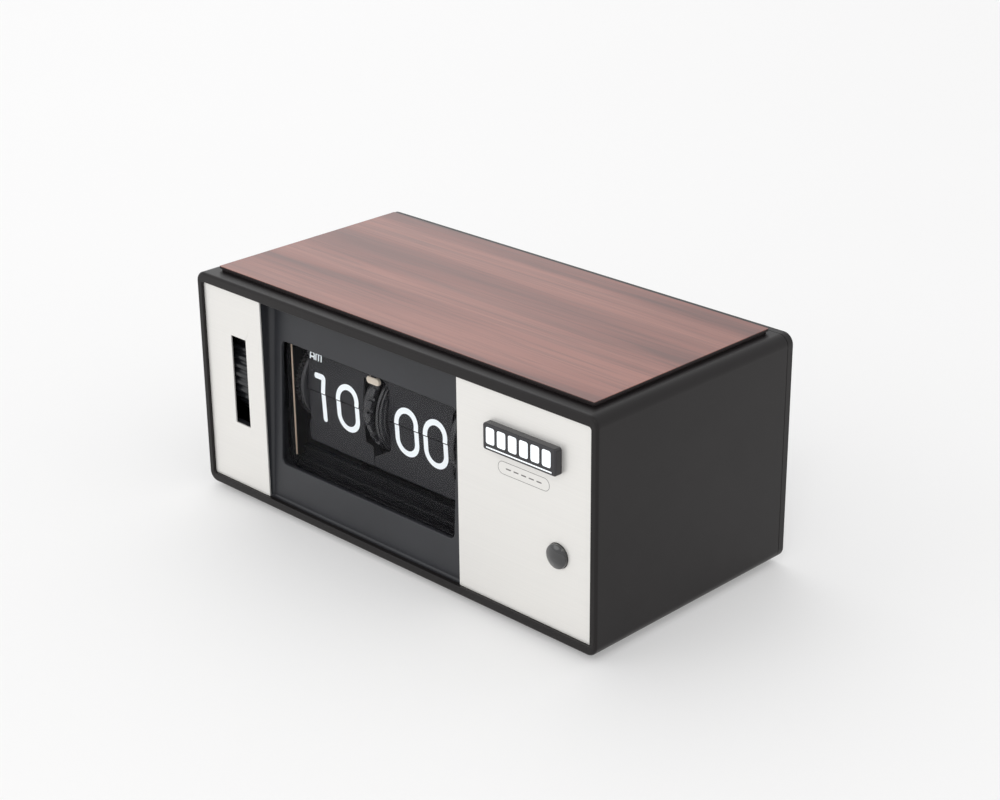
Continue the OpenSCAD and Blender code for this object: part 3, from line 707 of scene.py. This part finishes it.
def build_drums():
    """Turned drums: bands with eased rims; the hour flange has square notches.

    The profiles are (along, radius) in millimetres, with along measured from the middle plane.
    """
    ease, flange, ring, end, end_ease = 0.25, 15.9, 14.5, 15, 0.4
    bore = 1.5
    profile = ([(-11.2, bore)] + rounded_step(-11.2, -10, ring, flange, ease)
               + rounded_step(-9.5, -8.6, ring, flange, ease)
               + [(-8.6, 14.6), (-8.45, 14.45), (-8.3, 14.1), (-8.6, 13.9), (-8.6, 12.9), (-8.2, 12.6),
                  (-8.2, 5)]
               + rounded_step(21, 23.4, 5, end, end_ease) + [(24.4, 5), (24.4, bore)])
    data = lathe_data(np.array(profile) * MM, (0, SHAFT.y, SHAFT.z), 128)
    piece = even_normals(make_mesh("minute_drum_turned", *data, smooth=35))
    finished(piece, "drum_plastic", "minute_drum", body="minute_works")

    notches, notch_depth, notch_from, steep = 24, 1.1 * MM, 15.1 * MM, 8

    def notched(t, r):
        """Shallow notches with steep sides, only in the flange's rim."""
        near = np.clip((r - notch_from) / (0.4 * MM), 0, 1)
        return r - notch_depth * near * np.clip(0.5 - (np.cos(notches * t) + 0.72) * steep, 0, 1)

    bore, barrel = 1.55, 13.6
    profile = ([(-49, bore)] + rounded_step(-49, -47, 5, end, end_ease)
               + [(-19.5, 5), (-19.5, barrel - 0.2), (-19.3, barrel)]
               + rounded_step(-15.9, -13.6, barrel, flange, ease)
               + [(-13.6, 14.3), (-14.0, 14.1), (-14.0, 12.2), (-13.6, 12.0), (-13.6, 5), (-13.6, bore)])
    data = lathe_data(np.array(profile) * MM, (0, SHAFT.y, SHAFT.z), 288, notched)
    piece = make_mesh("hour_drum_turned", *data, smooth=35)
    finished(piece, "drum_plastic", "hour_drum", body="hour_works")


# ---- leaves and print

def flat_frame(y):
    """Upright plane facing the front at depth y, as (origin, across, up, outwards)."""
    return (np.array([0, y, 0]), np.array([1.0, 0, 0]), np.array([0, 0, 1.0]), np.array([0, -1.0, 0]))


def leaf_frame(angle, set_back=0.0, side=1):
    """Plane of a leaf that hangs at the split and points along angle, measured from the front
    over the top. side is 1 for the face towards the front and -1 for the hidden face."""
    along = np.array([0, -math.cos(angle), math.sin(angle)])
    out = np.array([0, -math.sin(angle), -math.cos(angle)]) * (1 if angle < math.pi else -1) * side
    origin = np.array([0, HINGE_Y + set_back, SPLIT_Z]) + out * LEAF_HALF
    return origin, np.array([1.0, 0, 0]), along, out


def densify(points, step=0.25 * MM):
    """Adds points along each straight piece so that they lie no further apart than step."""
    points = np.asarray(points, float)
    runs = [np.linspace(a, b, max(2, int(np.ceil(np.linalg.norm(b - a) / step)) + 1))[:-1]
            for a, b in zip(points[:-1], points[1:])]
    return np.concatenate(runs + [points[-1:]])


def ribbon_data(path, width, plane, thick, round_start, round_end):
    """Points and faces of a flat printed line along a path of (across, up) points.

    At arc length s the line is path(s) plus or minus its normal times a half width, which
    follows a half circle at a round end. thick is the height of the print over the plane.
    """
    origin, across, up, out = plane
    sunk, least = 0.3, 0.03
    step = np.gradient(path, axis=0)
    step /= np.linalg.norm(step, axis=1)[:, None]
    normal = np.stack([-step[:, 1], step[:, 0]], axis=-1)
    s = np.concatenate([[0], np.cumsum(np.linalg.norm(np.diff(path, axis=0), axis=1))])
    r = width / 2

    def rounded(distance):
        """Half width of a half circle, at a distance from the line's end."""
        return np.sqrt(np.clip(r * r - np.clip(r - distance, 0, r) ** 2, (least * r) ** 2, None))

    half = np.full(len(path), r)
    if round_start:
        half = np.minimum(half, rounded(s))
    if round_end:
        half = np.minimum(half, rounded(s[-1] - s))
    sides = np.stack([path + normal * half[:, None], path - normal * half[:, None]], axis=1)
    flat = origin + sides[..., 0:1] * across + sides[..., 1:2] * up
    rings = np.concatenate([flat + out * thick, flat[:, ::-1] - out * thick * sunk], axis=1)
    return skin_data(rings)


def arch(x0, x1, start, top, steps=28):
    """Path of a round-topped arch: straight legs from start, then half a circle between them."""
    radius = (x1 - x0) / 2
    sign = 1 if top > start else -1
    t = np.linspace(math.pi, 0, steps)
    crown = np.stack([(x0 + x1) / 2 + radius * np.cos(t), top + sign * radius * (np.sin(t) - 1)], axis=-1)
    return densify(np.concatenate([[[x0, start]], crown, [[x1, start]]]))


def digit_paths(symbol, x, s, upper):
    """Centre lines of one half of a digit, as (path, round start, round end), from the split up."""
    half = s.stroke / 2
    near = s.split_gap
    far = (s.digit_above if upper else s.digit_below) - half
    sign = 1 if upper else -1
    wide = s.digit_width / 2 - half
    if symbol == "0":
        return [(arch(x - wide, x + wide, sign * near, sign * far), False, False)]
    if not upper:
        return [(densify([[x, -near], [x, -s.digit_below]]), False, True)]
    bend, flag = 0.7 * MM, 4.5 * MM
    t = np.linspace(math.pi / 2, 0, 6)
    corner = np.stack([x - bend + bend * np.cos(t), far - bend + bend * np.sin(t)], axis=-1)
    return [(densify(np.concatenate([[[x - flag, far]], corner, [[x, near]]])), True, False)]


def day_mark(x, height):
    """Small print for the morning half of the day: an A and an M of rounded strokes."""
    wide, leg, tall, bar, gap = 1.9 * MM, 1.3 * MM, 2.6 * MM, 1.0 * MM, 0.85 * MM
    strokes = [arch(x, x + wide, height, height + tall, 12),
               densify([[x, height + bar], [x + wide, height + bar]])]
    start = x + wide + gap
    strokes += [arch(start + k * leg, start + (k + 1) * leg, height, height + tall, 12)
                for k in range(2)]
    return strokes


UPPER_ANGLE = math.radians(95)
LOWER_ANGLE = math.radians(267)
LEAF_HALF = 0.08 * MM
LANDED = 0.2 * MM
BEHIND = 0.6 * MM
MARK_STROKE = 0.54 * MM
MARK_PLACE = (-46.0 * MM, 10.6 * MM)
DIGITS = {"hour": ((-39.3 * MM, -27.5 * MM), "10", "11"), "minute": ((0.3 * MM, 13.4 * MM), "00", "01")}
# Across the foot and across the body of a leaf, and the heights where one widens into the other.
LEAF_SHAPES = {"hour": ((-46.7, -19.8), (-47.7, -16.4), (11.3, 11.7)),
               "minute": ((-7.9, 20.7), (-16, 24.2), (10.7, 15.4))}


def printed(name, symbols, s, upper, plane, marked):
    """Printed half digits on one plane. symbols are (digit, place across)."""
    parts = []
    flip = 1 if upper else -1
    for symbol, x in symbols:
        for path, round_start, round_end in digit_paths(symbol, x, s, upper):
            path = path * np.array([1, flip])
            parts.append(ribbon_data(path, s.stroke, plane, s.ink, round_start, round_end))
    if marked:
        for path in day_mark(*MARK_PLACE):
            parts.append(ribbon_data(path, MARK_STROKE, plane, s.ink, True, True))
    return make_mesh(name, *joined(parts), smooth=50)


def build_digits(s):
    """White print on the leaves: the time shown, and the next one on the hidden faces."""
    for name, (places, now, later) in DIGITS.items():
        hour, falling = name == "hour", name + "_flip"
        sets = (("upper", now, True, leaf_frame(UPPER_ANGLE), falling, hour),
                ("lower", now, False, leaf_frame(LOWER_ANGLE, LANDED), "clock_frame", False),
                ("next_upper", later, True, leaf_frame(UPPER_ANGLE, BEHIND), "clock_frame", hour),
                ("next_lower", later, False, leaf_frame(UPPER_ANGLE, 0, -1), falling, False))
        for half, text, upper, plane, body, marked in sets:
            piece = printed(f"{name}_print_{half}", list(zip(text, places)), s, upper, plane, marked)
            # The digits take the glowing print material: white print with painted light.
            finished(piece, "leaf_plastic", body=body, material="print_white")


def build_leaves():
    """The frame's own leaves with softened edges: each is its outline pulled to a thin plate."""
    foot, tip, corner = 0.2, 18.8, 0.4
    for name, (inner, outer, (low, high)) in LEAF_SHAPES.items():
        outline = np.array([[inner[0], foot], [inner[1], foot], [inner[1], low], [outer[1], high],
                            [outer[1], tip - corner], [outer[1] - corner, tip],
                            [outer[0] + corner, tip], [outer[0], tip - corner],
                            [outer[0], high], [inner[0], low]]) * MM
        for half, angle, set_back, body in (("flip", UPPER_ANGLE, 0, name + "_flip"),
                                            ("lower", LOWER_ANGLE, LANDED, "clock_frame"),
                                            ("next", UPPER_ANGLE, BEHIND, "clock_frame")):
            origin, across, up, out = leaf_frame(angle, set_back)
            flat = origin + outline[:, 0:1] * across + outline[:, 1:2] * up
            rings = [flat - out * 2 * LEAF_HALF, flat]
            piece = add_bevel(skin(f"{name}_leaf_{half}_moulded", rings), 0.04 * MM, 2, 60)
            finished(piece, "leaf_plastic", f"{name}_leaf_{half}", body=body)


def build_stop():
    """Pale pill with a rounded face on a dark stem."""
    low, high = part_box("leaf_stop")
    height, thick, soft, first = 2.5 * MM, 1.0 * MM, 0.35 * MM, 0.1 * MM
    pill = rect_grower(low.x, high.x, low.z, low.z + height, 1.2 * MM, 8)
    face = low.y
    rings = [ring_at(pill(-soft), face), ring_at(pill(-first), face + first),
             ring_at(pill(0), face + soft), ring_at(pill(0), face + thick)]
    piece = even_normals(skin("leaf_stop_pill", rings, smooth=40))
    finished(piece, "stop_cream", "leaf_stop")
    stem = box_rings((-14.2 * MM, -12.3 * MM), (at_front(8.1), at_front(8.8)),
                     (low.z + 2.4 * MM, high.z), 0.1 * MM, 0.08 * MM)
    finished(skin("leaf_stop_stem", stem), "shroud_plastic")


def build_shroud():
    """Dark surround behind the window: two side walls, a roof and stepped ledges below."""
    deep, tall, wide = (8, 15), (14, 68), (-54.6, 29.6)
    parts = [block((-55.8, wide[0]), deep, tall), block((wide[1], 30.8), deep, tall),
             block(wide, deep, (66.8, 68)), block(wide, deep, (14, 16)),
             block(wide, (9.5, 12.5), (16, 18.6)), block(wide, (12.5, 15), (16, 21.6)),
             block((wide[0], -53.0), (8, 8.5), tall, 0.05, 0.05)]
    piece = make_mesh("display_surround", *joined(parts))
    finished(piece, "shroud_plastic", "display_shroud")


def build_edge_strip():
    """Thin pale trim down the left side of the display, just inside the window."""
    piece = make_mesh("display_edge_strip", *block((-53.05, -52.7), (7.9, 8.4), (20, 66), 0.1, 0.08))
    finished(piece, "shroud_plastic", material="edge_glow")


def build_window(s):
    """Clear pane with eased edges: its depth grows with height by tan of the bezel's tilt."""
    low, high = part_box("window_lens")
    outline = rounded_loop(low.x, high.x, low.z, high.z, 1.0 * MM, 5)
    base = low.y + (outline[:, 1] - low.z) * math.tan(s.bezel_tilt)
    ease, thick = 0.15 * MM, 1.2 * MM
    middle = np.array([(low.x + high.x) / 2, (low.z + high.z) / 2])
    small = outline + np.sign(middle - outline) * ease
    rings = [ring_at(small, base), ring_at(outline, base + ease),
             ring_at(outline, base + thick - ease), ring_at(small, base + thick)]
    piece = even_normals(skin("window_pane", rings, smooth=40))
    finished(piece, "window_clear", "window_lens")


def build_button():
    """Domed push button turned about Y: dome, side wall, flange and stem.

    The dome belongs to a sphere of radius (r^2 + c^2) / (2 c), for a button radius r and crown c.
    """
    low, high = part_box("light_button")
    centre = (low + high) / 2
    radius, crown, proud, soft = BUTTON_RADIUS, 1.05 * MM, 1.9 * MM, 0.35 * MM
    flange, stem, least = radius + 1 * MM, 1.5 * MM, 0.02 * MM
    flange_front, flange_back, stem_end = at_front(3.15), at_front(4.15), at_front(9.7)
    sphere = (radius * radius + crown * crown) / (2 * crown)
    top = FRONT - proud
    profile = [(top + sphere * (1 - math.cos(a)), sphere * math.sin(a))
               for a in np.linspace(0.02, math.asin((radius - soft) / sphere), 9)]
    profile += [(top + crown + soft * (t - 0.6), radius - soft * (1 - t) ** 2 * 1.2)
                for t in np.linspace(0.35, 1, 4)]
    profile += [(flange_front, radius), (flange_front, flange), (flange_back, flange),
                (flange_back, stem), (stem_end, stem), (stem_end, least)]
    rings = [ring_at(circle(centre.x, centre.z, r, 64), y) for y, r in profile]
    piece = skin("light_button_dome", rings, smooth=35)
    finished(piece, "button_gloss", "light_button", body="button")


def build_feet():
    """Four rubber feet with rounded lower edges."""
    low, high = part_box("feet")
    radius, soft, first = 5.5 * MM, 0.5 * MM, 0.15 * MM
    levels = ((high.z, radius), (low.z + soft, radius), (low.z + first, radius - first),
              (low.z, radius - soft))
    parts = [skin_data([level_at(circle(x, y, r, 48), z) for z, r in levels])
             for x in (low.x + radius, high.x - radius) for y in (low.y + radius, high.y - radius)]
    piece = even_normals(make_mesh("rubber_feet", *joined(parts), smooth=35))
    finished(piece, "foot_rubber", "feet")


def finish_frame_parts():
    """Gives every node of the frame the material of its slot."""
    slots = {part["node"]: part["material_slot"] for part in frame["record"]["subparts"]}
    for name, node in frame["nodes"].items():
        material = MATERIALS[slots[name]]
        if node.material_slots:
            for slot in node.material_slots:
                slot.material = material
        else:
            node.data.materials.append(material)


# ---- stage

FLOOR_EDGE = 4.0
SKY_COLOUR = (0.985, 0.99, 1.0, 1)
GLOW_COLOUR = (1, 0.995, 0.99, 1)
LAMP_AIM = Vector((0, 0, 0.03))
# Name, place, diameter in metres and power in watts of each lamp.
LAMPS = (("key", (-0.9, 0.5, 1.5), 1.4, 4.0), ("front", (-0.9, -1.6, 0.9), 1.4, 4.5),
         ("glint", (0.55, -0.75, 0.95), 0.26, 1.8), ("left_sky", (-2.2, 1.6, 0.70), 1.5, 2.2))


def build_stage(s):
    """Pale floor, even light from all round, four soft lamps and the camera."""
    scene = bpy.context.scene
    scene.view_settings.view_transform = "Standard"
    world = bpy.data.worlds.new("studio")
    world.use_nodes = True
    background = world.node_tree.nodes["Background"]
    background.inputs["Color"].default_value = SKY_COLOUR
    background.inputs["Strength"].default_value = s.sky
    scene.world = world
    edge = FLOOR_EDGE
    floor = make_mesh("floor", [(-edge, -edge, 0), (edge, -edge, 0), (edge, edge, 0), (-edge, edge, 0)],
                      [[0, 1, 2, 3]])
    paint = Material("floor_paint", s.floor, 0.7, emission_color=GLOW_COLOUR,
                     emission_strength=s.floor_glow)
    tone = paint.ramp(paint.noise(3, 2), [(0.3, tuple(c * 0.99 for c in s.floor)), (0.7, s.floor)])
    paint.link(tone, paint.shader.inputs["Base Color"])
    floor.data.materials.append(paint.material)
    for name, place, size, power in LAMPS:
        light = bpy.data.lights.new(name, "AREA")
        light.shape = "DISK"
        light.size = size
        light.energy = power
        lamp = bpy.data.objects.new(name, light)
        lamp.location = place
        lamp.rotation_euler = (LAMP_AIM - Vector(place)).to_track_quat("-Z", "Y").to_euler()
        scene.collection.objects.link(lamp)
    camera = bpy.data.cameras.new("camera")
    camera.lens = s.lens
    camera.sensor_width = 36
    camera.clip_start = 0.01
    back = Vector((math.sin(s.azimuth) * math.cos(s.elevation),
                   -math.cos(s.azimuth) * math.cos(s.elevation), math.sin(s.elevation)))
    viewer = bpy.data.objects.new("camera", camera)
    viewer.location = Vector(s.target) + back * s.distance
    viewer.rotation_euler = (-back).to_track_quat("-Z", "Y").to_euler()
    viewer.rotation_euler.rotate_axis("Z", s.roll)
    scene.collection.objects.link(viewer)
    scene.camera = viewer


# ---- operators and panel

def operator(name, label, text, build, group=None):
    """Makes an operator class that runs one build function, with one settings group if it needs one."""

    def execute(self, context):
        if group:
            build(getattr(context.scene, group))
        else:
            build()
        return {"FINISHED"}
    return type(f"FLIPCLOCK_OT_{name}", (bpy.types.Operator,),
                {"bl_idname": f"flipclock.{name}", "bl_label": label, "__doc__": text,
                 "bl_description": text, "bl_options": {"REGISTER", "UNDO"}, "execute": execute})


STEPS = [
    ("materials", "Finishes", "Make the materials and give them to the frame's parts",
     lambda s: (make_materials(s), finish_frame_parts()), "clock_finish"),
    ("case", "Case", "Build the moulded sleeve with its rounded rim", build_case, "clock_case"),
    ("bezel", "Bezel", "Build the sunk bezel round the window", build_bezel, "clock_case"),
    ("plates", "Front plates", "Build the two metal front plates", build_plates, "clock_case"),
    ("badge", "Badge", "Build the plain badge block and its bars", build_badge),
    ("emblem", "Emblem", "Print the pill outline under the badge", build_emblem),
    ("top", "Top", "Build the laminate panel and its plinth", build_top),
    ("wheel", "Thumb wheel", "Build the ribbed thumb wheel", build_wheel),
    ("drums", "Drums", "Build the hour and minute drums", build_drums),
    ("leaves", "Leaves", "Build the visible leaves", build_leaves),
    ("digits", "Digits", "Print the digits on the leaves", build_digits, "clock_display"),
    ("stop", "Leaf stop", "Build the pale leaf stop", build_stop),
    ("shroud", "Surround", "Build the dark surround", build_shroud),
    ("edge_strip", "Edge strip", "Build the pale trim beside the display", build_edge_strip),
    ("window", "Window", "Build the clear window", build_window, "clock_case"),
    ("button", "Light button", "Build the domed push button", build_button),
    ("feet", "Feet", "Build the rubber feet", build_feet),
    ("stage", "Stage", "Set the floor, the lights and the camera", build_stage, "clock_stage"),
]
OPERATORS = [operator(*step) for step in STEPS]
SETTINGS = (("clock_case", CaseSettings), ("clock_display", DisplaySettings),
            ("clock_finish", FinishSettings), ("clock_stage", StageSettings))


class FLIPCLOCK_PT_panel(bpy.types.Panel):
    """Lists the steps that build the clock."""
    bl_label = "Flip Clock"
    bl_idname = "FLIPCLOCK_PT_panel"
    bl_space_type = "VIEW_3D"
    bl_region_type = "UI"
    bl_category = "Flip Clock"

    def draw(self, context):
        for step in OPERATORS:
            self.layout.operator(step.bl_idname)
        for attribute, group in SETTINGS:
            column = self.layout.column()
            for key in group.__annotations__:
                column.prop(getattr(context.scene, attribute), key)


def register():
    for attribute, group in SETTINGS:
        bpy.utils.register_class(group)
        setattr(bpy.types.Scene, attribute, PointerProperty(type=group))
    for step in OPERATORS:
        bpy.utils.register_class(step)
    bpy.utils.register_class(FLIPCLOCK_PT_panel)


def unregister():
    bpy.utils.unregister_class(FLIPCLOCK_PT_panel)
    for step in reversed(OPERATORS):
        bpy.utils.unregister_class(step)
    for attribute, group in reversed(SETTINGS):
        delattr(bpy.types.Scene, attribute)
        bpy.utils.unregister_class(group)


def main():
    """Builds every piece in order and writes the box of the CAD and that of the looks."""
    register()
    for step in OPERATORS:
        getattr(bpy.ops.flipclock, step.bl_idname.split(".")[1])()


if __name__ == "__main__":
    main()
